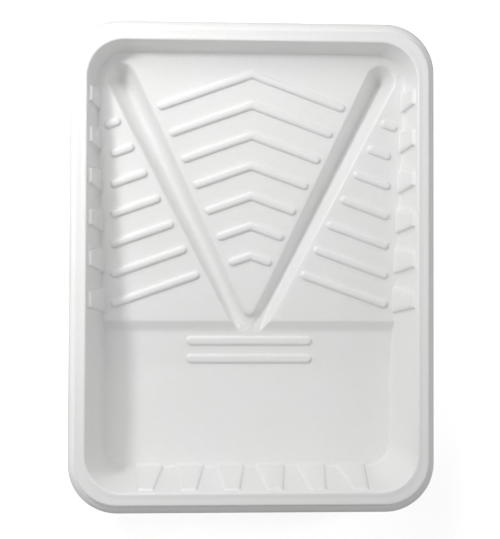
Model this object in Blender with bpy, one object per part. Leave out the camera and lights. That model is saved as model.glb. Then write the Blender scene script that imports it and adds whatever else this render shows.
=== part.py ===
"""Paint roller tray for a nine-inch roller, formed from one sheet of white plastic.

A drafted well under a rolled rim, a ramp with three raised panels parted by a V of two round
channels, spreading ribs on the panels, two ribs across the run-out, and pads along the walls.

Frame: +X to the right, +Y towards the shallow, high end of the ramp, +Z up. The origin is the
middle of the tray's box, on the surface that the tray stands on. Lengths are in metres.
"""
import math
from collections import namedtuple

import bmesh
import bpy
from mathutils import Vector

# ---------------------------------------------------------------- driving dimensions
WIDTH = 0.2830            # across the flange, along X
LENGTH = 0.3800           # over the flange, along Y
HEIGHT = 0.0640           # from the standing surface to the top of the rim
SHEET = 0.0010            # thickness of the formed sheet

# Rim: a flat top, a short step down outside it, then a narrow flange
OPENING_HALF = 0.1278     # half the opening at the rim's top, along X
OPENING_FRONT = -0.1736   # front edge of the opening, along Y
OPENING_BACK = 0.1742     # back edge of the opening, along Y
OPENING_CORNER = 0.0290   # corner radius of the opening
CREASE_HALF = 0.1366      # half width over the rim's flat top
CREASE_LENGTH_HALF = 0.1832
CREASE_CORNER = 0.0335
STEP_DROP = 0.0050        # height of the step outside the rim
STEP_DRAFT = 0.0006       # how far the step leans out on its way down
FLANGE_CORNER = 0.0380
RIM_OVERLAP = 0.0008      # how far the rim's inner edge reaches into the wall's top

# Walls and well
WALL_DRAFT = 0.152        # inward lean for each unit of depth
CORNER_DRAFT = 0.8        # loss of corner radius for each unit of inward lean
FLOOR_FILLET = 0.0025     # inner radius where the walls meet the floor

# Ramp: the panels lie on one sloping plane, the run-out on a parallel plane below it
RAMP_SLOPE = 0.128        # rise for each unit of length
PANEL_HEIGHT = 0.0160     # height of the panels' plane at the origin
PANEL_DROP = 0.0046       # depth of the run-out below the panels' plane
PANEL_FRONT = -0.0436     # top edge of the step at the panels' front, along Y
STEP_FOOT = -0.0518       # foot of that step
STEP_ROUND = 0.0030       # radius along the step's top and foot
RAMP_FRONT = -0.1000      # front end of the ramp's block, below the floor, along Y

# V channels: steep sides and a round bottom, deeper towards the high end of the ramp
CHANNEL_TOP = Vector((0.1036, 0.1500))
CHANNEL_END = Vector((0.0063, -0.0480))
CHANNEL_TOP_HALF_WIDTH = 0.0110
CHANNEL_TOP_DEPTH = 0.0176
CHANNEL_END_HALF_WIDTH = 0.0063
CHANNEL_END_DEPTH = 0.0048
CHANNEL_BOWLS = (0.0, 0.08, 0.25, 0.5, 1.0)  # places along a channel, from its low end
CHANNEL_DEEPENING = 0.6   # exponent of the depth's growth along the channel
CHANNEL_MOUTH = 0.24      # widening for each unit of height above the panels
CHANNEL_SECTION = (       # share of the half width left at each share of the depth
    (1.00, 0.00),
    (0.82, 0.32),
    (0.66, 0.62),
    (0.50, 0.84),
    (0.32, 0.96),
    (0.14, 1.00),
)
CHANNEL_FACETS = 20       # round each end of a channel
TIP_RADIUS = 0.0060       # plan radius of the middle panel's tip
TIP_FRONT = -0.0382       # foremost point of that tip, along Y
TIP_START = -155.0        # the tip's arc, in degrees from the X axis
TIP_SWEEP = 130.0

# Mouth: the open ground between the channels, from the tip to the run-out
MOUTH_OVERLAP = 0.0020    # how far its back edge lies behind the foremost point of the tip
MOUTH_BACK_HALF = 0.0075
MOUTH_FRONT_HALF = 0.0100
MOUTH_REACH = 0.0080      # how far it runs past the step's foot
MOUTH_TILT = 0.0006       # how much its ends rise and fall against the run-out

# Ribs: half-round bars, spaced alike on all three panels
RIB_COUNT = 7
RIB_PITCH = 0.02404
RIB_APEX = 0.1537         # centre line of the first rib on the middle line, along Y
RIB_SPREAD = 0.355        # fall along Y for each unit away from the middle line
RIB_HALF_WIDTH = 0.0032
RIB_RISE = 0.0025
RIB_WALL_END = 0.1130     # outer end of the side panels' ribs, along X
RIB_CHANNEL_GAP = 0.0050  # clear space between a rib's end and a channel's edge
BAR_POSITIONS = (-0.0600, -0.0748)
BAR_HALF_LENGTH = 0.0516
BAR_HALF_WIDTH = 0.0036
BAR_RISE = 0.0021
END_SHOULDER = 0.9        # length of a rib's tapered end, in half widths
END_SHRINK = 0.6          # radius at the very end, as a share of the full radius

# Pads: raised keystone shapes on the side and front walls
PAD_LEDGE = 0.0054        # depth of a pad's top ledge below the rim
PAD_PROUD = 0.0025        # how far the side walls' pads stand out
FRONT_PAD_PROUD = 0.0019
PAD_TOP_HALF = 0.0058
PAD_FLARE = 0.098         # growth of a pad's half width for each unit of depth
SIDE_PAD_FIRST = 0.1335
SIDE_PAD_PITCH = 0.0319
FRONT_PAD_PITCH = 0.03325
PAD_COUNT = 6             # on each of the three walls

# Facets
CORNER_STEPS = 8
FILLET_STEPS = 4
TUBE_RESOLUTION = 2
END_STEPS = 4
LIMIT_ROUNDS = 12         # repeats that settle where a rib meets a channel

# Reach of the cutting shapes past the tray, and the distance that counts as one point
OVERSHOOT = 0.0200
WELD_DISTANCE = 0.000004

PLASTIC_COLOUR = (0.86, 0.86, 0.85, 1.0)
PLASTIC_ROUGHNESS = 0.34

Ring = namedtuple("Ring", "half front back corner z")


# ---------------------------------------------------------------- scene helpers
def clear_scene():
    for item in list(bpy.data.objects):
        bpy.data.objects.remove(item, do_unlink=True)


def new_collection(name):
    collection = bpy.data.collections.new(name)
    bpy.context.scene.collection.children.link(collection)
    return collection


def add_mesh(name, bm, collection):
    """Turn a bmesh into an object with its faces pointing out."""
    bmesh.ops.recalc_face_normals(bm, faces=bm.faces)
    mesh = bpy.data.meshes.new(name)
    bm.to_mesh(mesh)
    bm.free()
    item = bpy.data.objects.new(name, mesh)
    collection.objects.link(item)
    return item


def hide_cutter(item):
    item.hide_render = True
    item.display_type = "WIRE"
    return item


def combine(target, other, operation):
    modifier = target.modifiers.new(f"{operation.lower()} {other.name}", "BOOLEAN")
    modifier.operation = operation
    modifier.object = other
    modifier.solver = "EXACT"


# ---------------------------------------------------------------- shape helpers
def ring_points(ring):
    """A rounded rectangle at one height, counter-clockwise from the right-hand side."""
    reach = ring.half - ring.corner
    centres = (
        (reach, ring.back - ring.corner, 0.0),
        (-reach, ring.back - ring.corner, 0.5 * math.pi),
        (-reach, ring.front + ring.corner, math.pi),
        (reach, ring.front + ring.corner, 1.5 * math.pi),
    )
    points = []
    for x, y, start in centres:
        for step in range(CORNER_STEPS + 1):
            angle = start + 0.5 * math.pi * step / CORNER_STEPS
            points.append((
                x + ring.corner * math.cos(angle),
                y + ring.corner * math.sin(angle),
                ring.z,
            ))
    return points


def loft(name, rings, collection, closed=False):
    """Skin a stack of rings: capped at both ends, or closed on itself like a frame."""
    bm = bmesh.new()
    loops = [[bm.verts.new(point) for point in ring_points(ring)] for ring in rings]
    pairs = list(zip(loops, loops[1:]))
    if closed:
        pairs.append((loops[-1], loops[0]))
    else:
        bm.faces.new(loops[0])
        bm.faces.new(loops[-1])
    for lower, upper in pairs:
        count = len(lower)
        for i in range(count):
            following = (i + 1) % count
            bm.faces.new((lower[i], lower[following], upper[following], upper[i]))
    return add_mesh(name, bm, collection)


def rounded(points, radii, steps):
    """Replace each corner of an open outline by an arc of the given radius."""
    result = [points[0]]
    for before, corner, after, radius in zip(points, points[1:], points[2:], radii):
        to_before = (before - corner).normalized()
        to_after = (after - corner).normalized()
        half_angle = 0.5 * to_before.angle(to_after)
        centre = corner + (to_before + to_after).normalized() * radius / math.sin(half_angle)
        first = corner + to_before * radius / math.tan(half_angle)
        last = corner + to_after * radius / math.tan(half_angle)
        start = math.atan2(first.y - centre.y, first.x - centre.x)
        end = math.atan2(last.y - centre.y, last.x - centre.x)
        sweep = math.remainder(end - start, 2.0 * math.pi)
        for step in range(steps + 1):
            angle = start + sweep * step / steps
            result.append(centre + radius * Vector((math.cos(angle), math.sin(angle))))
    result.append(points[-1])
    return result


def prism(name, outline, lift, collection):
    """Sweep a flat outline of 3-D points along one straight line."""
    bm = bmesh.new()
    face = bm.faces.new([bm.verts.new(point) for point in outline])
    swept = bmesh.ops.extrude_face_region(bm, geom=[face])
    moved = [part for part in swept["geom"] if isinstance(part, bmesh.types.BMVert)]
    bmesh.ops.translate(bm, verts=moved, vec=lift)
    return add_mesh(name, bm, collection)


def tubes(name, paths, resolution, collection):
    """Round bars along straight-sided paths of (point, radius), welded into closed bodies."""
    curve = bpy.data.curves.new(name, "CURVE")
    curve.dimensions = "3D"
    curve.bevel_depth = 1.0
    curve.bevel_resolution = resolution
    curve.use_fill_caps = True
    for path in paths:
        spline = curve.splines.new("POLY")
        spline.points.add(len(path) - 1)
        for target, (point, radius) in zip(spline.points, path):
            target.co = (*point, 1.0)
            target.radius = radius
    guide = bpy.data.objects.new(f"{name} guide", curve)
    collection.objects.link(guide)
    evaluated = guide.evaluated_get(bpy.context.evaluated_depsgraph_get())
    mesh = bpy.data.meshes.new_from_object(evaluated)
    bpy.data.objects.remove(guide, do_unlink=True)
    bm = bmesh.new()
    bm.from_mesh(mesh)
    bmesh.ops.remove_doubles(bm, verts=bm.verts, dist=0.000001)
    return add_mesh(name, bm, collection)


def hulls(name, groups, collection):
    """One convex block around each group of points."""
    bm = bmesh.new()
    for group in groups:
        verts = [bm.verts.new(point) for point in group]
        bmesh.ops.convex_hull(bm, input=verts)
    return add_mesh(name, bm, collection)


# ---------------------------------------------------------------- ramp geometry
def panel_z(y):
    return PANEL_HEIGHT + RAMP_SLOPE * y


def runout_z(y):
    return panel_z(y) - PANEL_DROP


def channel_at(y):
    """Distance of a channel's axis from the middle line, and its half width, at one Y."""
    share = (y - CHANNEL_END.y) / (CHANNEL_TOP.y - CHANNEL_END.y)
    x = CHANNEL_END.x + share * (CHANNEL_TOP.x - CHANNEL_END.x)
    growth = CHANNEL_TOP_HALF_WIDTH - CHANNEL_END_HALF_WIDTH
    return x, CHANNEL_END_HALF_WIDTH + share * growth


def arc_radius(half_width, height):
    """Radius of the arc that spans a width and bulges by a height."""
    return (half_width ** 2 + height ** 2) / (2.0 * height)


def rib_y(index, x):
    return RIB_APEX - RIB_PITCH * index - RIB_SPREAD * abs(x)


def rib_limit(index, side):
    """X where rib number index stops, inside (side -1) or outside (side +1) a channel."""
    lean = (CHANNEL_TOP - CHANNEL_END).normalized().y
    x = 0.5 * CREASE_HALF
    for _ in range(LIMIT_ROUNDS):
        axis, half_width = channel_at(rib_y(index, x))
        x = axis + side * (half_width + RIB_CHANNEL_GAP) / lean
    return x


# ---------------------------------------------------------------- solids of the tray
def wall_ring(inset, z, growth=0.0):
    """The wall's ring at one inset from the opening, grown outwards by a thickness."""
    return Ring(
        OPENING_HALF - inset + growth,
        OPENING_FRONT + inset - growth,
        OPENING_BACK - inset + growth,
        OPENING_CORNER - CORNER_DRAFT * inset + growth,
        z,
    )


def well(name, growth, top, collection):
    """The well as a solid: the drafted wall down to a round fillet and a flat bottom."""
    radius = FLOOR_FILLET + growth
    floor = SHEET - growth
    slant = math.sqrt(1.0 + WALL_DRAFT ** 2)
    side = growth * slant
    centre_z = SHEET + FLOOR_FILLET
    centre_inset = WALL_DRAFT * (HEIGHT - centre_z) + FLOOR_FILLET * slant
    rings = [wall_ring(WALL_DRAFT * (HEIGHT - top), top, side)]
    start = math.atan(WALL_DRAFT)
    for step in range(FILLET_STEPS + 1):
        angle = start + (0.5 * math.pi - start) * step / FILLET_STEPS
        inset = centre_inset - radius * math.cos(angle)
        z = centre_z - radius * math.sin(angle)
        rings.append(wall_ring(inset, z))
    rings[-1] = rings[-1]._replace(z=floor)
    return loft(name, rings, collection)


def rim(name, collection):
    """The frame-shaped rim: flat top, step and flange, one sheet thick."""
    top = HEIGHT
    shelf = HEIGHT - STEP_DROP
    half_length = CREASE_LENGTH_HALF
    inner = Ring(OPENING_HALF, OPENING_FRONT, OPENING_BACK, OPENING_CORNER, top)
    inner = grow(inner, -RIM_OVERLAP)
    crease = Ring(CREASE_HALF, -half_length, half_length, CREASE_CORNER, top)
    foot = grow(crease, STEP_DRAFT)._replace(z=shelf)
    edge = Ring(0.5 * WIDTH, -0.5 * LENGTH, 0.5 * LENGTH, FLANGE_CORNER, shelf)
    section = [
        inner,
        crease,
        foot,
        edge,
        edge._replace(z=shelf - SHEET),
        grow(foot, -SHEET)._replace(z=shelf - SHEET),
        grow(crease, -SHEET)._replace(z=top - SHEET),
        inner._replace(z=top - SHEET),
    ]
    return loft(name, section, collection, closed=True)


def grow(ring, distance):
    return ring._replace(
        half=ring.half + distance,
        front=ring.front - distance,
        back=ring.back + distance,
        corner=ring.corner + distance,
    )


def ramp_profile(depth):
    """Side outline of the space that the ramp fills, lowered by a thickness, as (y, z)."""
    drop = depth * math.sqrt(1.0 + RAMP_SLOPE ** 2)
    back = 0.5 * LENGTH + OVERSHOOT
    low = -OVERSHOOT
    corners = [
        Vector((back, low)),
        Vector((back, panel_z(back) - drop)),
        Vector((PANEL_FRONT, panel_z(PANEL_FRONT) - drop)),
        Vector((STEP_FOOT, runout_z(STEP_FOOT) - drop)),
        Vector((RAMP_FRONT, runout_z(RAMP_FRONT) - drop)),
        Vector((RAMP_FRONT, low)),
    ]
    top_radius = STEP_ROUND - depth
    foot_radius = STEP_ROUND + depth
    stepped = rounded(corners[1:5], (top_radius, foot_radius), FILLET_STEPS)
    return [corners[0]] + stepped + [corners[5]]


def channel(name, side, growth, collection):
    """One channel's cutter: a hull round a row of bowls that grow wider and deeper."""
    group = []
    for share in CHANNEL_BOWLS:
        centre = CHANNEL_END.lerp(CHANNEL_TOP, share)
        growing = CHANNEL_TOP_DEPTH - CHANNEL_END_DEPTH
        depth = CHANNEL_END_DEPTH + growing * share ** CHANNEL_DEEPENING
        half_width = channel_at(centre.y)[1]
        above = half_width + growth + CHANNEL_MOUTH * OVERSHOOT
        levels = [(above, OVERSHOOT)]
        for width_share, depth_share in CHANNEL_SECTION:
            levels.append((half_width * width_share + growth, -depth * depth_share - growth))
        for radius, rise in levels:
            for step in range(CHANNEL_FACETS):
                angle = 2.0 * math.pi * step / CHANNEL_FACETS
                x = side * centre.x + radius * math.cos(angle)
                y = centre.y + radius * math.sin(angle)
                group.append((x, y, panel_z(y) + rise))
    return hide_cutter(hulls(name, [group], collection))


def mouth(name, growth, collection):
    """The cutter for the open ground between the channels, in front of the middle tip."""
    depth = PANEL_DROP + growth
    centre_y = TIP_FRONT + TIP_RADIUS
    radius = TIP_RADIUS - growth
    outline = []
    for step in range(END_STEPS * 2 + 1):
        angle = math.radians(TIP_START + TIP_SWEEP * step / (END_STEPS * 2))
        outline.append((radius * math.cos(angle), centre_y + radius * math.sin(angle)))
    back = TIP_FRONT + MOUTH_OVERLAP
    front = STEP_FOOT - MOUTH_REACH
    wide = MOUTH_FRONT_HALF + growth
    narrow = MOUTH_BACK_HALF
    outline += [(narrow, back), (wide, PANEL_FRONT), (wide, front)]
    outline += [(-wide, front), (-wide, PANEL_FRONT), (-narrow, back)]
    base = []
    for x, y in outline:
        share = (y - front) / (back - front)
        base.append((x, y, panel_z(y) - depth - MOUTH_TILT * (2.0 * share - 1.0)))
    lift = Vector((0.0, 0.0, OVERSHOOT))
    return hide_cutter(prism(name, base, lift, collection))


def bar(ends, half_width, rise, height_at, growth):
    """A half-sunk round bar through plan points, with tapering ends."""
    radius = arc_radius(half_width, rise)
    sunk = radius - rise
    full = radius - growth
    points = [Vector((x, y, height_at(y) - sunk)) for x, y in ends]
    first = (points[1] - points[0]).normalized()
    last = (points[-2] - points[-1]).normalized()
    shoulder = END_SHOULDER * half_width
    path = [(points[0], END_SHRINK * full)]
    path.append((points[0] + first * shoulder, full))
    path.extend((point, full) for point in points[1:-1])
    path.append((points[-1] + last * shoulder, full))
    path.append((points[-1], END_SHRINK * full))
    return path


def ribs(name, growth, collection):
    paths = []
    for index in range(RIB_COUNT):
        inner = rib_limit(index, -1.0)
        outer = rib_limit(index, 1.0)
        chevron = [(x, rib_y(index, x)) for x in (-inner, 0.0, inner)]
        paths.append(bar(chevron, RIB_HALF_WIDTH, RIB_RISE, panel_z, growth))
        for side in (-1.0, 1.0):
            ends = [(side * x, rib_y(index, x)) for x in (outer, RIB_WALL_END)]
            paths.append(bar(ends, RIB_HALF_WIDTH, RIB_RISE, panel_z, growth))
    for y in BAR_POSITIONS:
        ends = [(-BAR_HALF_LENGTH, y), (BAR_HALF_LENGTH, y)]
        paths.append(bar(ends, BAR_HALF_WIDTH, BAR_RISE, runout_z, growth))
    return hide_cutter(tubes(name, paths, TUBE_RESOLUTION, collection))


def pad_block(along, outward, wall, centre, proud, growth):
    """Corner points of one pad: a keystone leaning with the wall, open to the outside."""
    group = []
    for z in (HEIGHT - PAD_LEDGE - growth, -OVERSHOOT):
        depth = HEIGHT - z
        half = PAD_TOP_HALF - growth + PAD_FLARE * (depth - PAD_LEDGE)
        face = wall - WALL_DRAFT * depth - (proud - growth)
        for reach in (face, wall + OVERSHOOT):
            for end in (-half, half):
                spot = outward * reach + along * (centre + end)
                group.append((spot.x, spot.y, z))
    return group


def pads(name, growth, collection):
    x_way = Vector((1.0, 0.0))
    y_way = Vector((0.0, 1.0))
    groups = []
    for index in range(PAD_COUNT):
        y = SIDE_PAD_FIRST - SIDE_PAD_PITCH * index
        x = FRONT_PAD_PITCH * (index - 0.5 * (PAD_COUNT - 1))
        for outward in (x_way, -x_way):
            groups.append(pad_block(y_way, outward, OPENING_HALF, y, PAD_PROUD, growth))
        groups.append(pad_block(x_way, -y_way, -OPENING_FRONT, x, FRONT_PAD_PROUD, growth))
    return hide_cutter(hulls(name, groups, collection))


def ramp_block(name, depth, collection):
    """Everything below the ramp's upper skin (depth 0) or its lower skin (depth SHEET)."""
    left = -0.5 * WIDTH - OVERSHOOT
    outline = [(left, point.x, point.y) for point in ramp_profile(depth)]
    block = prism(name, outline, Vector((-2.0 * left, 0.0, 0.0)), collection)
    for label, side in (("left", -1.0), ("right", 1.0)):
        cutter = channel(f"{name} {label} channel", side, depth, collection)
        combine(block, cutter, "DIFFERENCE")
    combine(block, mouth(f"{name} mouth", depth, collection), "DIFFERENCE")
    combine(block, ribs(f"{name} ribs", depth, collection), "UNION")
    return hide_cutter(block)


def plastic():
    material = bpy.data.materials.new("white_plastic")
    material.use_nodes = True
    shader = material.node_tree.nodes["Principled BSDF"]
    shader.inputs["Base Color"].default_value = PLASTIC_COLOUR
    shader.inputs["Roughness"].default_value = PLASTIC_ROUGHNESS
    shader.inputs["Metallic"].default_value = 0.0
    return material


def build_tray(parts, cutters):
    """The sheet: the rim and the outer form, less the space below it and the air inside."""
    tray = rim("tray", parts)
    outside = hide_cutter(well("outer form", SHEET, HEIGHT - 0.5 * SHEET, cutters))
    combine(outside, pads("pad hollows", SHEET, cutters), "DIFFERENCE")
    combine(outside, ramp_block("space under ramp", SHEET, cutters), "DIFFERENCE")

    air = hide_cutter(well("air", 0.0, HEIGHT + OVERSHOOT, cutters))
    combine(air, pads("pads", 0.0, cutters), "DIFFERENCE")
    combine(air, ramp_block("ramp", 0.0, cutters), "DIFFERENCE")

    combine(tray, outside, "UNION")
    combine(tray, air, "DIFFERENCE")
    weld = tray.modifiers.new("join coincident points", "WELD")
    weld.merge_threshold = WELD_DISTANCE
    facets = tray.modifiers.new("even facets", "TRIANGULATE")
    facets.quad_method = "BEAUTY"
    facets.ngon_method = "BEAUTY"
    tray.data.shade_smooth()
    tray.data.set_sharp_from_angle(angle=math.radians(35.0))
    tray.data.materials.append(plastic())
    return tray


def main():
    clear_scene()
    parts = new_collection("paint_roller_tray")
    cutters = new_collection("cutters")
    build_tray(parts, cutters)


main()
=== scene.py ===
import math
from collections import namedtuple

import bpy
import numpy as np
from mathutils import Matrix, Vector
from mathutils.geometry import delaunay_2d_cdt


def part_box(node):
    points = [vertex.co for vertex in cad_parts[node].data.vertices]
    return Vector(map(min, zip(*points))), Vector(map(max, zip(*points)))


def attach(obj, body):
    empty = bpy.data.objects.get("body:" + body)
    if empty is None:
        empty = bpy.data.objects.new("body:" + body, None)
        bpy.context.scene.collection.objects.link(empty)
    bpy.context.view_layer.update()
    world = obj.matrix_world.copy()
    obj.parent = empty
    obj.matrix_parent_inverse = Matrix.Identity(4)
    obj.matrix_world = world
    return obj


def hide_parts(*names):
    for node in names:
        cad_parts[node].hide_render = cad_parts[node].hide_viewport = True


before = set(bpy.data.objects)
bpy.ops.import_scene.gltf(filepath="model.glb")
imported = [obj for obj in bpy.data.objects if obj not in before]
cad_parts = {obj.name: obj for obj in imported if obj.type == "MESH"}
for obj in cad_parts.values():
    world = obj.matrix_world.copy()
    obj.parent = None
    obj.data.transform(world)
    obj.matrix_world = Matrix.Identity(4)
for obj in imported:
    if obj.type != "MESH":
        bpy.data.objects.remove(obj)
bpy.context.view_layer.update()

# Paint roller tray: the finished look of one formed sheet of white plastic.
# The whole upper skin is one surface. Rings of points run round the flange, rim and walls, and
# the ground inside the walls is filled with triangles that follow contours drawn round every
# rib, channel and step. Sizes below are in millimetres; the box comes from the CAD frame.

MM = 0.001
tray_low, tray_high = (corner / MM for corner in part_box("tray"))

# ---------------------------------------------------------------- sizes, as in the CAD part
HEIGHT = tray_high.z
FLANGE_HALF = tray_high.x
FLANGE_LENGTH_HALF = tray_high.y
SHEET = 1.0

OPENING_HALF = 127.8
OPENING_FRONT = -173.6
OPENING_BACK = 174.2
OPENING_CORNER = 29.0
CREASE_HALF = 136.6
CREASE_LENGTH_HALF = 183.2
CREASE_CORNER = 33.5
FLANGE_CORNER = 38.0

WALL_DRAFT = 0.152
CORNER_DRAFT = 0.8        # share of the draft by which the corners tighten
FLOOR_FILLET = 2.5
RAMP_FILLET = 1.1
FILLET_CHANGE = (-95.0, -55.0)      # Y range over which one fillet turns into the other

RAMP_SLOPE = 0.128
PANEL_HEIGHT = 16.0
PANEL_DROP = 4.6
STEP_TOP = -43.6
STEP_FOOT = -51.8

CHANNEL_TOP = np.array((103.6, 150.0))
CHANNEL_END = np.array((6.3, -48.0))
CHANNEL_TOP_WIDTH = 11.4
CHANNEL_END_WIDTH = 6.6
CHANNEL_TOP_DEPTH = 18.0
CHANNEL_END_DEPTH = 4.8
CHANNEL_DEEPENING = 0.6   # exponent of the depth's growth along the channel
CHANNEL_STEEPNESS = 2.4   # depth gained on a flank for each unit of its width
CHANNEL_DISH = 0.08       # how much the bottom rises towards the flanks, as a share
CHANNEL_CORNER = 0.8      # blends, as a share of the depth at the bottom and in mm at the lip
CHANNEL_LIP = 3.4
CHANNEL_CONTOURS = (
    0.2, 0.34, 0.44, 0.52, 0.6, 0.68, 0.76, 0.84, 0.9, 0.95, 1.0, 1.05, 1.1, 1.17,
)
TIP_RADIUS = 6.6
TIP_CENTRE = -33.2
TIP_SLOPE = 2.2
TIP_FADE = (12.0, 30.0)   # distance behind the tip over which its own step dies out
TIP_CONTOURS = (-2.8, -2.1, -1.5, -0.9, -0.3, 0.3, 0.9, 1.7)
TIP_ARC = (-158.0, -22.0)           # degrees, from +X, between which the tip is drawn
TIP_ARC_STEPS = 14
STEP_CONTOURS = (
    -0.3, -0.15, -0.03, 0.1, 0.25, 0.4, 0.6, 0.8, 0.9, 0.96, 1.02, 1.08, 1.2,
)
STEP_LINE_END = 120.0
STEP_LINE_START = (6.0, 15.5)       # X clear of the channels, at the step's foot and its top
STEP_LINE_CHANGE = 0.6              # share of the step's rise at which the second one is used
MERGE_POWER = 8.0         # how sharply the step and the channels meet

RIB_COUNT = 7
RIB_PITCH = 24.04
RIB_APEX = 153.7
RIB_SPREAD = 0.355
RIB_HALF_WIDTH = 3.2
RIB_RISE = 2.5
RIB_WALL_END = 113.0
TOP_RIB_END = 117.5       # the topmost rib runs out nearer to the walls than the others
RIB_CHANNEL_GAP = 4.6
RIB_FILLET = 0.9          # reach of the fillet at a rib's foot, and its height there
RIB_FOOT = 0.28
RIB_CONTOURS = (0.25, 0.5, 0.72, 0.87, 0.95, 1.0, 1.1, 1.28)
BAR_Y = (-60.0, -74.8)
BAR_HALF_LENGTH = 51.6
BAR_HALF_WIDTH = 3.6
BAR_RISE = 2.1

PAD_LEDGE = 5.4
PAD_PROUD = (2.5, 0.0, 2.5, 1.9)
PAD_TOP_HALF = 5.8
PAD_FLARE = 0.098
SIDE_PAD_FIRST = 133.5
SIDE_PAD_PITCH = 31.9
FRONT_PAD_PITCH = 33.25
FRONT_PAD_SHIFT = 1.4
PAD_COUNT = 6
PAD_EDGE = 0.75           # half the width of a pad's rounded flank

# Rim in section, as (distance outside the wall line, height above the rim's top, corner radius)
RIM_SECTION = (
    (13.7, -6.4, 0.0),
    (9.3, -5.1, 0.8),
    (8.8, 0.0, 0.9),
    (6.9, 0.0, 2.5),
    (4.0, -0.2, 4.0),
    (1.9, 0.0, 2.5),
    (0.0, 0.0, 1.3),
    (-0.5, -3.3, 0.0),
)
WALL_ROWS = (4.1, 4.6, 4.8, 4.95, 5.1, 5.25, 5.4, 5.55, 5.7, 5.85, 6.0, 6.2, 6.8, 8.0, 10.0)
LEDGE_HALF = 0.62         # half the depth over which a pad's ledge comes out
LOWER_WALL_ROWS = 9
FILLET_ROWS = 6
ARC_STEPS = 5
CORNER_COLUMNS = 20
BACK_COLUMNS = 44         # columns along the back wall, which has no pads
FRONT_END_COLUMNS = 10    # columns between a corner and the nearest pad
SIDE_END_COLUMNS = 18
FLANK_COLUMNS = 6         # columns across a pad's flank, its face or a gap, and up to a mark
FACE_COLUMNS = 4
MARK_COLUMNS = 5
RUN_OUT_MARKS = (-88.0, -76.0)      # Y of columns where the ramp rises from the floor
GRID_STEP = 5.0           # spacing of loose points on flat ground
GRID_CLEAR = 1.6          # their least distance from every contour point
FOOT_CLEAR = 0.6          # least distance of a contour point from the foot of the walls
FOOT_GUESS = 40.0         # depth at which the search for the foot of the walls starts
RIB_SPACING = 6.0         # spacing of the points along each kind of contour
CHANNEL_SPACING = 7.0
STEP_SPACING = 4.0
RIB_CAP_STEPS = 8         # points round each rounded end
BAR_CAP_STEPS = 10
CHANNEL_CAP_STEPS = 18

Key = namedtuple("Key", "base flare end")
Column = namedtuple("Column", "side start stop share angle flank")


def smooth_step(value, low, high):
    share = np.clip((value - low) / (high - low), 0.0, 1.0)
    return share * share * (3.0 - 2.0 * share)


def smooth_max(first, second, blend):
    near = np.maximum(blend - np.abs(first - second), 0.0) / blend
    return np.maximum(first, second) + 0.25 * blend * near * near


def smooth_min(first, second, blend):
    return -smooth_max(-first, -second, blend)


# ---------------------------------------------------------------- ground inside the walls
def panel_z(y):
    return PANEL_HEIGHT + RAMP_SLOPE * y


def rib_y(index, x):
    return RIB_APEX - RIB_PITCH * index - RIB_SPREAD * abs(x)


def channel_share(y):
    return (y - CHANNEL_END[1]) / (CHANNEL_TOP[1] - CHANNEL_END[1])


def rib_limit(index, side):
    """X where rib number index stops, inside (side -1) or outside (side +1) a channel."""
    span = CHANNEL_TOP - CHANNEL_END
    lean = span[1] / np.hypot(*span)
    x = 0.5 * OPENING_HALF
    for _ in range(12):
        share = channel_share(rib_y(index, x))
        axis = CHANNEL_END[0] + share * span[0]
        width = CHANNEL_END_WIDTH + share * (CHANNEL_TOP_WIDTH - CHANNEL_END_WIDTH)
        x = axis + side * (width + RIB_CHANNEL_GAP) / lean
    return x


def rib_lines():
    """Centre lines of the ribs on the panels, each as a list of plan points."""
    lines = []
    for index in range(RIB_COUNT):
        inner = rib_limit(index, -1.0) - RIB_HALF_WIDTH
        outer = rib_limit(index, 1.0) + RIB_HALF_WIDTH
        lines.append([(x, rib_y(index, x)) for x in (-inner, 0.0, inner)])
        for side in (-1.0, 1.0):
            wall_end = RIB_WALL_END if index else TOP_RIB_END
            ends = (outer, wall_end - RIB_HALF_WIDTH)
            lines.append([(side * x, rib_y(index, x)) for x in ends])
    return lines


def bar_lines():
    reach = BAR_HALF_LENGTH - BAR_HALF_WIDTH
    return [[(-reach, y), (reach, y)] for y in BAR_Y]


def segment_distance(x, y, start, stop):
    """Plan distance from points to one straight segment, and the share along it."""
    start = np.asarray(start, float)
    span = np.asarray(stop, float) - start
    share = ((x - start[0]) * span[0] + (y - start[1]) * span[1]) / (span @ span)
    share = np.clip(share, 0.0, 1.0)
    across = np.hypot(x - start[0] - share * span[0], y - start[1] - share * span[1])
    return across, share


def line_distance(x, y, line):
    gaps = [segment_distance(x, y, a, b)[0] for a, b in zip(line, line[1:])]
    return np.minimum.reduce(gaps)


def rib_height(gap, half_width, rise):
    """A rib's section: a flat crown with quarter-round sides and a small fillet at its foot."""
    crown = half_width - min(rise, 0.85 * half_width)
    share = np.clip((gap - crown) / (half_width - crown), 0.0, 1.0)
    side = rise * np.sqrt(1.0 - share * share)
    fillet = np.maximum(1.0 - np.abs(gap - half_width) / RIB_FILLET, 0.0)
    return side + RIB_FOOT * fillet * fillet


def channel_depth(x, y, side):
    """Depth of one channel below the panels' plane: steep flanks and a rounded bottom."""
    gap, share = segment_distance(x, y, CHANNEL_END * (side, 1.0), CHANNEL_TOP * (side, 1.0))
    width = CHANNEL_END_WIDTH + share * (CHANNEL_TOP_WIDTH - CHANNEL_END_WIDTH)
    growing = CHANNEL_TOP_DEPTH - CHANNEL_END_DEPTH
    depth = CHANNEL_END_DEPTH + growing * share ** CHANNEL_DEEPENING
    flank = (width - gap) * CHANNEL_STEEPNESS
    bottom = depth * (1.0 - CHANNEL_DISH * (gap / width) ** 2)
    trough = smooth_min(flank, bottom, CHANNEL_CORNER * depth)
    return smooth_max(trough, np.zeros_like(trough), CHANNEL_LIP)


def slope_share(distance, width, top_blend, foot_blend):
    """A straight slope from 0 to 1 over a width, rounded at its top and its foot."""
    share = smooth_max(distance / width, np.zeros_like(distance), top_blend)
    return smooth_min(share, np.ones_like(distance), foot_blend)


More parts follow.
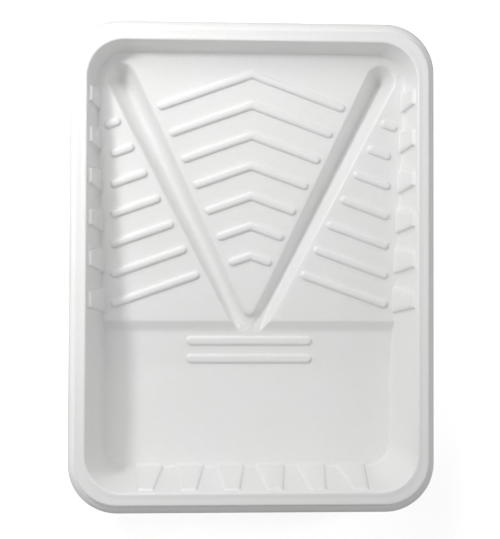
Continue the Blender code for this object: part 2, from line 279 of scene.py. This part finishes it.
def step_depth(x, y):
    """Depth below the panels' plane of the step down to the run-out and round the tip."""
    side_panels = slope_share(STEP_TOP - y, STEP_TOP - STEP_FOOT, 0.12, 0.3)
    span = CHANNEL_TOP - CHANNEL_END
    unit = span / np.hypot(*span)
    reach = np.abs(x)
    ahead = y - TIP_CENTRE
    along = reach * unit[0] + ahead * unit[1]
    beside = reach * unit[1] - ahead * unit[0]
    gap = np.where(along > 0.0, beside, np.hypot(reach, ahead)) - TIP_RADIUS
    middle_panel = slope_share(gap + TIP_SLOPE, TIP_SLOPE + 0.8, 0.3, 0.3)
    middle_panel = middle_panel * (1.0 - smooth_step(ahead, *TIP_FADE))
    axis = CHANNEL_END[0] + channel_share(y) * span[0]
    return PANEL_DROP * np.where(reach < np.maximum(axis, 0.0), middle_panel, side_panels)


def ground_z(x, y):
    """Height of the upper skin inside the walls: floor, run-out, panels, channels and ribs."""
    plane = panel_z(y)
    depths = [step_depth(x, y)] + [channel_depth(x, y, side) for side in (-1.0, 1.0)]
    merged = sum(depth ** MERGE_POWER for depth in depths) ** (1.0 / MERGE_POWER)
    base = smooth_max(plane - merged, np.full_like(y, SHEET), 0.8)
    for line in RIB_LINES:
        base = base + rib_height(line_distance(x, y, line), RIB_HALF_WIDTH, RIB_RISE)
    for line in BAR_LINES:
        base = base + rib_height(line_distance(x, y, line), BAR_HALF_WIDTH, BAR_RISE)
    return base


RIB_LINES = rib_lines()
BAR_LINES = bar_lines()


# ---------------------------------------------------------------- contours for the ground mesh
def spread_points(start, stop, step):
    """Evenly spaced points from start up to, but not including, stop."""
    start = np.asarray(start, float)
    stop = np.asarray(stop, float)
    count = max(1, int(round(np.hypot(*(stop - start)) / step)))
    return [start + (stop - start) * i / count for i in range(count)]


def offset_loop(line, widths, step, cap_steps):
    """A closed loop at a distance from a line, with round ends; widths has one per point."""
    line = [np.asarray(point, float) for point in line]
    loop = []
    for path, gaps in ((line, widths), (line[::-1], widths[::-1])):
        units = [(b - a) / np.hypot(*(b - a)) for a, b in zip(path, path[1:])]
        normals = [np.array((unit[1], -unit[0])) for unit in units]
        edge = [path[0] + normals[0] * gaps[0]]
        for i in range(1, len(path) - 1):
            both = normals[i - 1] + normals[i]
            edge.append(path[i] + both * gaps[i] / (1.0 + normals[i - 1] @ normals[i]))
        edge.append(path[-1] + normals[-1] * gaps[-1])
        for a, b in zip(edge, edge[1:]):
            loop.extend(spread_points(a, b, step))
        for i in range(cap_steps):
            angle = math.pi * i / cap_steps
            spoke = normals[-1] * math.cos(angle) + units[-1] * math.sin(angle)
            loop.append(path[-1] + spoke * gaps[-1])
    return loop


def ground_contours():
    """Open and closed contour lines of every formed feature on the ground."""
    open_lines = []
    loops = []
    ribs = (RIB_LINES, RIB_HALF_WIDTH, RIB_CAP_STEPS)
    bars = (BAR_LINES, BAR_HALF_WIDTH, BAR_CAP_STEPS)
    for lines, half, cap in (ribs, bars):
        for line in lines:
            middle = [p for a, b in zip(line, line[1:]) for p in spread_points(a, b, RIB_SPACING)]
            open_lines.append(middle + [np.asarray(line[-1], float)])
            for share in RIB_CONTOURS:
                loops.append(offset_loop(line, [share * half] * len(line), RIB_SPACING, cap))
    for side in (-1.0, 1.0):
        ends = [CHANNEL_END * (side, 1.0), CHANNEL_TOP * (side, 1.0)]
        axis = spread_points(*ends, CHANNEL_SPACING) + [ends[1]]
        open_lines.append(axis)
        shares = [i / (len(axis) - 1) for i in range(len(axis))]
        widths = [CHANNEL_END_WIDTH + s * (CHANNEL_TOP_WIDTH - CHANNEL_END_WIDTH) for s in shares]
        for ratio in CHANNEL_CONTOURS:
            gaps = [ratio * width for width in widths]
            loops.append(offset_loop(axis, gaps, CHANNEL_SPACING, CHANNEL_CAP_STEPS))
    for gap in TIP_CONTOURS:
        radius = TIP_RADIUS + gap
        degrees = np.linspace(*TIP_ARC, TIP_ARC_STEPS + 1)
        turns = [math.radians(degree) for degree in degrees]
        arc = [(radius * math.cos(t), TIP_CENTRE + radius * math.sin(t)) for t in turns]
        open_lines.append([np.array(point) for point in arc])
    rise = STEP_TOP - STEP_FOOT
    foot_start, top_start = STEP_LINE_START
    for share in STEP_CONTOURS:
        y = STEP_FOOT + share * rise
        inner = foot_start if share < STEP_LINE_CHANGE else top_start
        for side in (-1.0, 1.0):
            ends = [(side * inner, y), (side * STEP_LINE_END, y)]
            open_lines.append(spread_points(*ends, STEP_SPACING) + [np.array(ends[1])])
    return open_lines, loops


# ---------------------------------------------------------------- columns round the tray
SIDE_OUT = np.array(((1.0, 0.0), (0.0, 1.0), (-1.0, 0.0), (0.0, -1.0)))
SIDE_ALONG = np.array(((0.0, 1.0), (-1.0, 0.0), (0.0, -1.0), (1.0, 0.0)))


def pad_centres(side):
    """Places of the pads along one side, in the direction that the columns run."""
    steps = np.arange(PAD_COUNT)
    if side == 3:
        return FRONT_PAD_SHIFT + FRONT_PAD_PITCH * (steps - 0.5 * (PAD_COUNT - 1))
    if side == 1:
        return []
    along_y = SIDE_PAD_FIRST - SIDE_PAD_PITCH * steps
    return sorted(along_y if side == 0 else -along_y)


def side_keys(side):
    """Keys along one side, in order: its two ends, the pads' flanks and a few fixed places."""
    marks = []
    for centre in pad_centres(side):
        for end in (-1.0, 1.0):
            for edge in (-1.0, 1.0):
                marks.append((centre + end * PAD_TOP_HALF, Key(centre + edge * PAD_EDGE, end, 0)))
    if side in (0, 2):
        way = 1.0 if side == 0 else -1.0
        step_marks = (STEP_FOOT - 1.5, 0.5 * (STEP_FOOT + STEP_TOP), STEP_TOP + 1.0)
        for y in step_marks + RUN_OUT_MARKS:
            marks.append((way * y, Key(way * y, 0.0, 0)))
    return [Key(0.0, 0.0, -1)] + [key for _, key in sorted(marks)] + [Key(0.0, 0.0, 1)]


def column_count(side, first, second):
    """Number of columns between two keys: side ends, one flank, a pad's face, or plain wall."""
    if first.end or second.end:
        return FRONT_END_COLUMNS if side == 3 else SIDE_END_COLUMNS
    if first.flare and first.flare == second.flare:
        return FLANK_COLUMNS
    if first.flare and second.flare:
        return FACE_COLUMNS
    return MARK_COLUMNS


def make_columns():
    columns = []
    for side in range(4):
        keys = side_keys(side)
        for first, second in zip(keys, keys[1:]):
            count = BACK_COLUMNS if side == 1 else column_count(side, first, second)
            climbing = first.flare == second.flare == -1.0
            falling = first.flare == second.flare == 1.0
            on_face = first.flare == -1.0 and second.flare == 1.0
            for i in range(count):
                share = i / count
                bend = share * share * (3.0 - 2.0 * share)
                flank = bend if climbing else 1.0 - bend if falling else float(on_face)
                columns.append(Column(side, first, second, share, 0.0, flank))
        end = keys[-1]
        for i in range(CORNER_COLUMNS):
            angle = 0.5 * math.pi * i / CORNER_COLUMNS
            columns.append(Column(side, end, end, 0.0, angle, 0.0))
    return columns


COLUMNS = make_columns()
C_SIDE = np.array([column.side for column in COLUMNS])
C_SHARE = np.array([column.share for column in COLUMNS])
C_ANGLE = np.array([column.angle for column in COLUMNS])
C_FLANK = np.array([column.flank for column in COLUMNS])
C_START = np.array([column.start for column in COLUMNS])
C_STOP = np.array([column.stop for column in COLUMNS])


def key_place(keys, depth, starts, ends):
    """Place of each column's key: on a pad's flaring flank, or at the end of the side."""
    half = PAD_TOP_HALF + PAD_FLARE * np.maximum(depth - PAD_LEDGE, 0.0)
    place = keys[:, 0] + keys[:, 1] * half
    place = np.where(keys[:, 2] < 0, starts, place)
    return np.where(keys[:, 2] > 0, ends, place)


def ring_plan(half, front, back, corner, depth, bump):
    """Plan points of all columns on a rounded rectangle; every argument may vary by column."""
    half, front, back, corner, depth = (
        np.broadcast_to(np.asarray(value, float), C_SHARE.shape)
        for value in (half, front, back, corner, depth)
    )
    reach = np.choose(C_SIDE, (half, back, half, -front))
    starts = np.choose(C_SIDE, (front + corner, corner - half, corner - back, corner - half))
    ends = np.choose(C_SIDE, (back - corner, half - corner, -front - corner, half - corner))
    first = key_place(C_START, depth, starts, ends)
    second = key_place(C_STOP, depth, starts, ends)
    along = first + C_SHARE * (second - first)
    out = SIDE_OUT[C_SIDE]
    run = SIDE_ALONG[C_SIDE]
    inner = reach - corner - bump
    return (
        out * (inner + corner * np.cos(C_ANGLE))[:, None]
        + run * (along + corner * np.sin(C_ANGLE))[:, None]
    )


def rim_plan(distance):
    """Plan points at one distance outside the wall line, out to the flange's edge."""
    crease = CREASE_HALF - OPENING_HALF
    edge = FLANGE_HALF - OPENING_HALF
    spread = np.interp(distance, (0.0, crease, edge), (0.0, 1.0, 2.0))
    fold = (0.0, 1.0, 2.0)
    inset = min(distance, 0.0)
    return ring_plan(
        np.interp(spread, fold, (OPENING_HALF, CREASE_HALF, FLANGE_HALF)) + inset,
        np.interp(spread, fold, (OPENING_FRONT, -CREASE_LENGTH_HALF, -FLANGE_LENGTH_HALF)) - inset,
        np.interp(spread, fold, (OPENING_BACK, CREASE_LENGTH_HALF, FLANGE_LENGTH_HALF)) + inset,
        np.interp(spread, fold, (OPENING_CORNER, CREASE_CORNER, FLANGE_CORNER)) + inset,
        0.0,
        0.0,
    )


def wall_plan(depth, extra):
    """Plan points on the wall at a depth below the rim, moved a further distance inwards."""
    ledge = smooth_step(depth, PAD_LEDGE - LEDGE_HALF, PAD_LEDGE + LEDGE_HALF)
    inset = WALL_DRAFT * depth + extra
    return ring_plan(
        OPENING_HALF - inset,
        OPENING_FRONT + inset,
        OPENING_BACK - inset,
        OPENING_CORNER - CORNER_DRAFT * inset,
        depth,
        np.array(PAD_PROUD)[C_SIDE] * C_FLANK * ledge,
    )


def rounded_section(section, steps):
    """The section's corners replaced by arcs, as (distance, height) pairs."""
    points = [np.array(entry[:2]) for entry in section]
    result = [points[0]]
    for before, corner, after, entry in zip(points, points[1:], points[2:], section[1:]):
        radius = entry[2]
        to_before = (before - corner) / np.hypot(*(before - corner))
        to_after = (after - corner) / np.hypot(*(after - corner))
        half_angle = 0.5 * math.acos(np.clip(to_before @ to_after, -1.0, 1.0))
        middle = to_before + to_after
        centre = corner + middle / np.hypot(*middle) * radius / math.sin(half_angle)
        first = corner + to_before * radius / math.tan(half_angle) - centre
        last = corner + to_after * radius / math.tan(half_angle) - centre
        start = math.atan2(first[1], first[0])
        sweep = math.remainder(math.atan2(last[1], last[0]) - start, 2.0 * math.pi)
        for step in range(steps + 1):
            angle = start + sweep * step / steps
            result.append(centre + radius * np.array((math.cos(angle), math.sin(angle))))
    result.append(points[-1])
    return result


def ring_rows():
    """All rings from the flange's edge down to the foot of the walls, as arrays of points."""
    rows = []
    for distance, rise in rounded_section(RIM_SECTION, ARC_STEPS):
        plan = rim_plan(distance)
        rows.append(np.column_stack((plan, np.full(len(plan), HEIGHT + rise))))
    flat = np.zeros(len(COLUMNS))
    for depth in WALL_ROWS:
        rows.append(np.column_stack((wall_plan(flat + depth, 0.0), flat + HEIGHT - depth)))

    lean = math.atan(WALL_DRAFT)
    tangent = flat + FOOT_GUESS
    radius = flat + RAMP_FILLET
    for _ in range(6):
        plan = wall_plan(tangent, radius * math.cos(lean))
        low_end = 1.0 - smooth_step(plan[:, 1], *FILLET_CHANGE)
        radius = RAMP_FILLET + (FLOOR_FILLET - RAMP_FILLET) * low_end
        foot = ground_z(plan[:, 0], plan[:, 1])
        tangent = HEIGHT - foot - radius * (1.0 - math.sin(lean))
    for step in range(1, LOWER_WALL_ROWS + 1):
        depth = WALL_ROWS[-1] + (tangent - WALL_ROWS[-1]) * step / LOWER_WALL_ROWS
        rows.append(np.column_stack((wall_plan(depth, 0.0), HEIGHT - depth)))
    for step in range(1, FILLET_ROWS + 1):
        angle = lean + (0.5 * math.pi - lean) * step / FILLET_ROWS
        plan = wall_plan(tangent, radius * (math.cos(lean) - math.cos(angle)))
        ground = ground_z(plan[:, 0], plan[:, 1])
        rows.append(np.column_stack((plan, ground + radius * (1.0 - math.sin(angle)))))
    return rows


def inside_loop(points, loop, margin):
    """Which points lie inside a closed loop and at least a margin away from it."""
    ahead = np.roll(loop, -1, axis=0)
    inside = np.zeros(len(points), bool)
    nearest = np.full(len(points), np.inf)
    for a, b in zip(loop, ahead):
        crosses = (a[1] > points[:, 1]) != (b[1] > points[:, 1])
        rise = b[1] - a[1] if b[1] != a[1] else 1.0
        where = a[0] + (points[:, 1] - a[1]) * (b[0] - a[0]) / rise
        inside ^= crosses & (points[:, 0] < where)
        nearest = np.minimum(nearest, segment_distance(points[:, 0], points[:, 1], a, b)[0])
    return inside & (nearest > margin)


def ground_mesh(foot):
    """Triangles between the foot of the walls and all contours: (plan points, triangles)."""
    open_lines, loops = ground_contours()
    points = [foot]
    edges = []
    count = len(foot)
    for line, closed in [(line, False) for line in open_lines] + [(loop, True) for loop in loops]:
        line = np.array(line)
        kept = inside_loop(line, foot, FOOT_CLEAR)
        following = np.roll(np.arange(len(line)), -1)
        for i, j in enumerate(following):
            if kept[i] and kept[j] and (closed or j > i):
                edges.append((count + i, count + j))
        line[~kept] = foot[0]
        points.append(line)
        count += len(line)
    columns = int(2 * FLANGE_HALF / GRID_STEP)
    rows = int(2 * FLANGE_LENGTH_HALF / GRID_STEP)
    grid = [
        ((i - 0.5 * columns + 0.5 * (j % 2)) * GRID_STEP, (j - 0.5 * rows) * GRID_STEP)
        for i in range(columns) for j in range(rows)
    ]
    grid = np.array(grid)
    grid = grid[inside_loop(grid, foot, GRID_CLEAR)]
    drawn = np.vstack(points)
    gaps = np.array([np.hypot(*(drawn - point).T).min() for point in grid])
    points.append(grid[gaps > GRID_CLEAR])
    plan = [Vector(point) for point in np.vstack(points)]
    border = list(range(len(foot)))
    return delaunay_2d_cdt(plan, edges, [border], 1, 0.0001)


def build_skin():
    """The upper skin as one open mesh, its faces looking up."""
    rows = ring_rows()
    width = len(COLUMNS)
    foot = rows[-1][:, :2]
    verts, _, triangles, origins, _, _ = ground_mesh(foot)
    plan = np.array([tuple(vert) for vert in verts])
    heights = ground_z(plan[:, 0], plan[:, 1])
    first_ground = len(rows) * width
    last_row = first_ground - width
    index = np.full(len(plan), -1)
    extra = []
    for i, origin in enumerate(origins):
        at_foot = [o for o in origin if o < width]
        if at_foot:
            index[i] = last_row + at_foot[0]
        else:
            index[i] = first_ground + len(extra)
            extra.append((plan[i, 0], plan[i, 1], heights[i]))
    points = np.vstack(rows + [np.array(extra)])
    faces = []
    for row in range(len(rows) - 1):
        for column in range(width):
            following = (column + 1) % width
            a = row * width + column
            b = row * width + following
            faces.append((a, b, b + width, a + width))
    faces.extend(tuple(int(index[i]) for i in triangle) for triangle in triangles)
    mesh = bpy.data.meshes.new("formed_sheet")
    mesh.from_pydata([tuple(point * MM) for point in points], [], faces)
    mesh.validate()
    mesh.update()
    return mesh


def make_sheet():
    mesh = build_skin()
    sheet = bpy.data.objects.new("formed_sheet", mesh)
    bpy.context.scene.collection.objects.link(sheet)
    mesh.shade_smooth()
    thickness = sheet.modifiers.new("sheet thickness", "SOLIDIFY")
    thickness.thickness = SHEET * MM
    thickness.offset = -1.0
    thickness.use_even_offset = True
    thickness.use_quality_normals = True
    return sheet


# ---------------------------------------------------------------- material
WHITE_COOL = (0.850, 0.850, 0.848, 1.0)
WHITE_WARM = (0.842, 0.840, 0.832, 1.0)
WHITE_DULL = (0.808, 0.807, 0.802, 1.0)
# painted highlight colour for the convex edges
EDGE_HIGHLIGHT_WHITE = (0.882, 0.882, 0.880, 1.0)
# painted shade colour for the creases
CREASE_SHADE_GREY = (0.690, 0.690, 0.668, 1.0)
POLISH = (0.285, 0.36)    # roughness where the sheet is glossiest and where it is dullest
HANDLED_HAZE = 0.06       # roughness added by hands, scuffs and the creases
SCUFF_HAZE = 0.07
FOLD_HAZE = 0.08
RELIEF = (                # height in metres and strength of the waves, the grain and the scuffs
    (0.0006, 0.16),
    (0.00005, 0.16),
    (0.00001, 0.15),
)
SCUFFS = (                # direction in degrees, and stretch in features per metre
    (14.0, (900.0, 26.0, 200.0)),
    (-71.0, (1100.0, 34.0, 200.0)),
)


def noise(tree, place, scale, detail, roughness, distortion=0.0):
    """Fractal noise in object space; scale is in features per metre."""
    node = tree.nodes.new("ShaderNodeTexNoise")
    tree.links.new(place, node.inputs["Vector"])
    node.inputs["Scale"].default_value = scale
    node.inputs["Detail"].default_value = detail
    node.inputs["Roughness"].default_value = roughness
    node.inputs["Distortion"].default_value = distortion
    return node.outputs["Fac"]


def ranged(tree, source, low, high, to_low, to_high):
    """Map one range of a value smoothly on to another."""
    node = tree.nodes.new("ShaderNodeMapRange")
    node.interpolation_type = "SMOOTHSTEP"
    tree.links.new(source, node.inputs["Value"])
    for name, value in (
        ("From Min", low), ("From Max", high), ("To Min", to_low), ("To Max", to_high),
    ):
        node.inputs[name].default_value = value
    return node.outputs["Result"]


def math_node(tree, operation, first, second):
    node = tree.nodes.new("ShaderNodeMath")
    node.operation = operation
    for socket, value in zip(node.inputs, (first, second)):
        if isinstance(value, float):
            socket.default_value = value
        else:
            tree.links.new(value, socket)
    return node.outputs["Value"]


def mixed_colour(tree, factor, first, second):
    """Blend two colours; either may be a fixed colour or another node's output."""
    node = tree.nodes.new("ShaderNodeMix")
    node.data_type = "RGBA"
    tree.links.new(factor, node.inputs["Factor"])
    for name, colour in (("A", first), ("B", second)):
        socket = [item for item in node.inputs if item.name == name and item.type == "RGBA"][0]
        if isinstance(colour, tuple):
            socket.default_value = colour
        else:
            tree.links.new(colour, socket)
    return [item for item in node.outputs if item.type == "RGBA"][0]


def stretched(tree, place, turn, stretch):
    """Object coordinates turned and stretched, for scratches along one direction."""
    node = tree.nodes.new("ShaderNodeMapping")
    tree.links.new(place, node.inputs["Vector"])
    node.inputs["Rotation"].default_value = (0.0, 0.0, math.radians(turn))
    node.inputs["Scale"].default_value = stretch
    return node.outputs["Vector"]


def white_plastic():
    """Semi-gloss formed sheet: cloudy white, stretch waves, fine scuffs, painted shade in the
    creases and a painted highlight on convex edges.
    """
    material = bpy.data.materials.new("white_formed_plastic")
    material.use_nodes = True
    tree = material.node_tree
    shader = tree.nodes["Principled BSDF"]
    shader.inputs["IOR"].default_value = 1.5
    shader.inputs["Specular IOR Level"].default_value = 0.5
    place = tree.nodes.new("ShaderNodeTexCoord").outputs["Object"]

    # colour: slow clouding of the pigment, a finer mottle, painted shade in the creases and a
    # painted highlight on convex edges
    clouds = ranged(tree, noise(tree, place, 14.0, 3.0, 0.5, 0.4), 0.35, 0.65, 0.0, 1.0)
    mottle = ranged(tree, noise(tree, place, 260.0, 4.0, 0.6), 0.3, 0.7, 0.0, 1.0)
    body = mixed_colour(tree, clouds, WHITE_COOL, WHITE_WARM)
    faint = math_node(tree, "MULTIPLY", mottle, 0.35)
    body = mixed_colour(tree, faint, body, WHITE_DULL)
    shape = tree.nodes.new("ShaderNodeNewGeometry").outputs["Pointiness"]
    crease_mask = ranged(tree, shape, 0.38, 0.475, 1.0, 0.0)
    edges = ranged(tree, shape, 0.54, 0.70, 0.0, 1.0)
    # painted shade: the creases darkened towards grey, mottled
    crease_shade = math_node(tree, "MULTIPLY", crease_mask, ranged(tree, mottle, 0.2, 0.9, 0.25, 0.8))
    body = mixed_colour(tree, crease_shade, body, CREASE_SHADE_GREY)
    # painted highlight: the convex edges lightened towards a brighter white
    edge_highlight = math_node(tree, "MULTIPLY", edges, 0.5)
    body = mixed_colour(tree, edge_highlight, body, EDGE_HIGHLIGHT_WHITE)
    tree.links.new(body, shader.inputs["Base Color"])

    # gloss: uneven polish, hazy rubbed patches, duller folds and fine directional scuffs
    patches = noise(tree, place, 38.0, 5.0, 0.62, 0.6)
    polish = ranged(tree, patches, 0.3, 0.72, *POLISH)
    touches = noise(tree, place, 9.0, 4.0, 0.55, 1.2)
    handled = ranged(tree, touches, 0.52, 0.72, 0.0, HANDLED_HAZE)
    scuffs = None
    for turn, stretch in SCUFFS:
        streak = noise(tree, stretched(tree, place, turn, stretch), 1.0, 2.0, 0.5)
        line = ranged(tree, streak, 0.70, 0.82, 0.0, 1.0)
        scuffs = line if scuffs is None else math_node(tree, "MAXIMUM", scuffs, line)
    gloss = math_node(tree, "ADD", polish, handled)
    gloss = math_node(tree, "ADD", gloss, math_node(tree, "MULTIPLY", scuffs, SCUFF_HAZE))
    gloss = math_node(tree, "ADD", gloss, math_node(tree, "MULTIPLY", crease_mask, FOLD_HAZE))
    tree.links.new(gloss, shader.inputs["Roughness"])

    # relief: waves where the hot sheet stretched, the mould's fine grain, and the scuffs
    waves = noise(tree, place, 46.0, 2.0, 0.45, 0.3)
    grain = noise(tree, place, 900.0, 3.0, 0.6)
    normal = None
    for source, (distance, strength) in zip((waves, grain, scuffs), RELIEF):
        bump = tree.nodes.new("ShaderNodeBump")
        bump.inputs["Distance"].default_value = distance
        bump.inputs["Strength"].default_value = strength
        tree.links.new(source, bump.inputs["Height"])
        if normal is not None:
            tree.links.new(normal, bump.inputs["Normal"])
        normal = bump.outputs["Normal"]
    tree.links.new(normal, shader.inputs["Normal"])
    return material


# ---------------------------------------------------------------- stage
PAPER_SIZE = 14.0
PAPER_GAP = 0.0002        # keeps the paper's face apart from the underside of the well
PAPER_GLOW = 0.52
SURROUND = 0.346          # brightness of the pale room round the table
LAMP_TARGET = (0.0, 0.0, 0.03)
LAMPS = (                 # name, place, width and length in metres, power in watts
    ("key", (-0.375, 0.28, 0.53), 0.10, 0.10, 1.65),
    ("left fill", (-0.25, 0.0, 0.6), 0.3, 0.3, 0.25),
    ("back fill", (-0.20, 0.50, 0.55), 0.35, 0.35, 1.3),
    ("low left fill", (-1.3, 0.0, 0.5), 0.5, 0.5, 1.2),
    ("overhead", (0.0, 0.1, 1.3), 0.6, 0.6, 0.25),
    ("right strip", (0.95, 0.17, 0.85), 0.06, 0.8, 1.6),
)


def add_area(name, location, width, length, power):
    """An elliptical lamp that faces the tray; its length runs along Y as far as it can."""
    data = bpy.data.lights.new(name, "AREA")
    data.shape = "ELLIPSE"
    data.size = width
    data.size_y = length
    data.energy = power
    lamp = bpy.data.objects.new(name, data)
    bpy.context.scene.collection.objects.link(lamp)
    lamp.location = location
    aim = Vector(LAMP_TARGET) - Vector(location)
    lamp.rotation_euler = aim.to_track_quat("-Z", "Y").to_euler()
    lamp.visible_camera = False


def make_floor():
    """Plain white paper under the tray, large enough to fill the view."""
    bpy.ops.mesh.primitive_plane_add(size=PAPER_SIZE, location=(0.0, 0.0, -PAPER_GAP))
    floor = bpy.context.active_object
    floor.name = "floor"
    paper = bpy.data.materials.new("floor_paper")
    paper.use_nodes = True
    shader = paper.node_tree.nodes["Principled BSDF"]
    shader.inputs["Base Color"].default_value = (0.9, 0.9, 0.9, 1.0)
    shader.inputs["Roughness"].default_value = 0.9
    shader.inputs["Emission Color"].default_value = (1.0, 1.0, 1.0, 1.0)
    shader.inputs["Emission Strength"].default_value = PAPER_GLOW
    floor.data.materials.append(paper)


def make_lights():
    """Soft studio light: a pale surround, a key from the left and fill lamps round the table."""
    world = bpy.context.scene.world or bpy.data.worlds.new("studio")
    bpy.context.scene.world = world
    world.use_nodes = True
    background = world.node_tree.nodes["Background"]
    background.inputs["Color"].default_value = (1.0, 1.0, 1.0, 1.0)
    background.inputs["Strength"].default_value = SURROUND
    for lamp in LAMPS:
        add_area(*lamp)
    bpy.context.scene.view_settings.view_transform = "Standard"


CAMERA_LENS = 71.5
CAMERA_PLACE = (-0.0418, -0.0204, 0.8859)
CAMERA_TURN = (1.24, -2.7456, 0.2469)         # degrees about X, Y and Z


def make_camera():
    data = bpy.data.cameras.new("camera")
    data.lens = CAMERA_LENS
    camera = bpy.data.objects.new("camera", data)
    bpy.context.scene.collection.objects.link(camera)
    camera.location = CAMERA_PLACE
    camera.rotation_mode = "ZYX"
    camera.rotation_euler = tuple(math.radians(turn) for turn in CAMERA_TURN)
    bpy.context.scene.camera = camera


sheet = make_sheet()
sheet.data.materials.append(white_plastic())
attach(sheet, "root")
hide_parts("tray")
make_floor()
make_lights()
make_camera()
